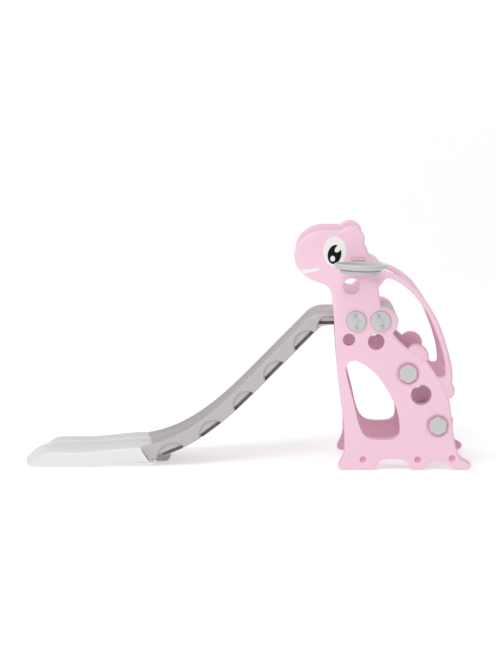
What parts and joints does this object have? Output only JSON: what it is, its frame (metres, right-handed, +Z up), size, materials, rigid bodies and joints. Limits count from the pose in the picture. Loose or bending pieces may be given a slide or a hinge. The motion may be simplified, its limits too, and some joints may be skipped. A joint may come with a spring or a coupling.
{
  "type": "toddler slide",
  "caption": "Freestanding toddler slide with animal-shaped side panels, steps, a platform, a double-wall chute with a low run-out and a clip-in ball hoop.",
  "frame": {"origin": "on the floor under the middle of the slide's overall box", "axes": "+Z up, +X from the chute's nose towards the steps, +Y from the hoop's side to the far panel"},
  "size_m": [1.684, 0.6778, 0.905],
  "materials": {
    "pink_plastic": "satin",
    "grey_plastic": "satin",
    "light_grey_plastic": "satin",
    "white_plastic": "satin, slightly translucent",
    "sticker_white": "printed film",
    "sticker_black": "printed film",
    "mouth_white": "satin"
  },
  "bodies": {
    "frame": {"left_panel": "pink_plastic", "right_panel": "pink_plastic", "platform": "grey_plastic", "upper_step": "grey_plastic", "lower_step": "grey_plastic", "slide_chute": "grey_plastic", "chute_foot": "grey_plastic", "chute_extension": "white_plastic", "left_eye": "sticker_white", "right_eye": "sticker_white", "left_pupil": "sticker_black", "right_pupil": "sticker_black", "left_mouth": "mouth_white", "right_mouth": "mouth_white"},
    "left_front_knob_body": {"left_front_knob": "light_grey_plastic"},
    "left_rear_knob_body": {"left_rear_knob": "light_grey_plastic"},
    "left_lower_cap_body": {"left_lower_cap": "light_grey_plastic"},
    "left_upper_cap_body": {"left_upper_cap": "light_grey_plastic"},
    "right_front_knob_body": {"right_front_knob": "light_grey_plastic"},
    "right_rear_knob_body": {"right_rear_knob": "light_grey_plastic"},
    "right_lower_cap_body": {"right_lower_cap": "light_grey_plastic"},
    "right_upper_cap_body": {"right_upper_cap": "light_grey_plastic"},
    "hoop_body": {"ball_hoop": "light_grey_plastic"}
  },
  "joints": [
    {"name": "left_front_knob_turn", "type": "hinge", "parent": "frame", "child": "left_front_knob_body", "pos_m": [0.418, -0.13641, 0.557], "axis": [0, -1, 0], "range_deg": [0, 540]},
    {"name": "left_rear_knob_turn", "type": "hinge", "parent": "frame", "child": "left_rear_knob_body", "pos_m": [0.508, -0.13641, 0.557], "axis": [0, -1, 0], "range_deg": [0, 540]},
    {"name": "left_lower_cap_turn", "type": "hinge", "parent": "frame", "child": "left_lower_cap_body", "pos_m": [0.72, -0.13641, 0.167], "axis": [0, -1, 0], "range_deg": [0, 540]},
    {"name": "left_upper_cap_turn", "type": "hinge", "parent": "frame", "child": "left_upper_cap_body", "pos_m": [0.61, -0.13641, 0.362], "axis": [0, -1, 0], "range_deg": [0, 540]},
    {"name": "right_front_knob_turn", "type": "hinge", "parent": "frame", "child": "right_front_knob_body", "pos_m": [0.418, 0.32359, 0.557], "axis": [0, 1, 0], "range_deg": [0, 540]},
    {"name": "right_rear_knob_turn", "type": "hinge", "parent": "frame", "child": "right_rear_knob_body", "pos_m": [0.508, 0.32359, 0.557], "axis": [0, 1, 0], "range_deg": [0, 540]},
    {"name": "right_lower_cap_turn", "type": "hinge", "parent": "frame", "child": "right_lower_cap_body", "pos_m": [0.72, 0.32359, 0.167], "axis": [0, 1, 0], "range_deg": [0, 540]},
    {"name": "right_upper_cap_turn", "type": "hinge", "parent": "frame", "child": "right_upper_cap_body", "pos_m": [0.61, 0.32359, 0.362], "axis": [0, 1, 0], "range_deg": [0, 540]},
    {"name": "hoop_pull", "type": "slide", "parent": "frame", "child": "hoop_body", "axis": [0, -1, 0], "range_m": [0, 0.05]}
  ]
}
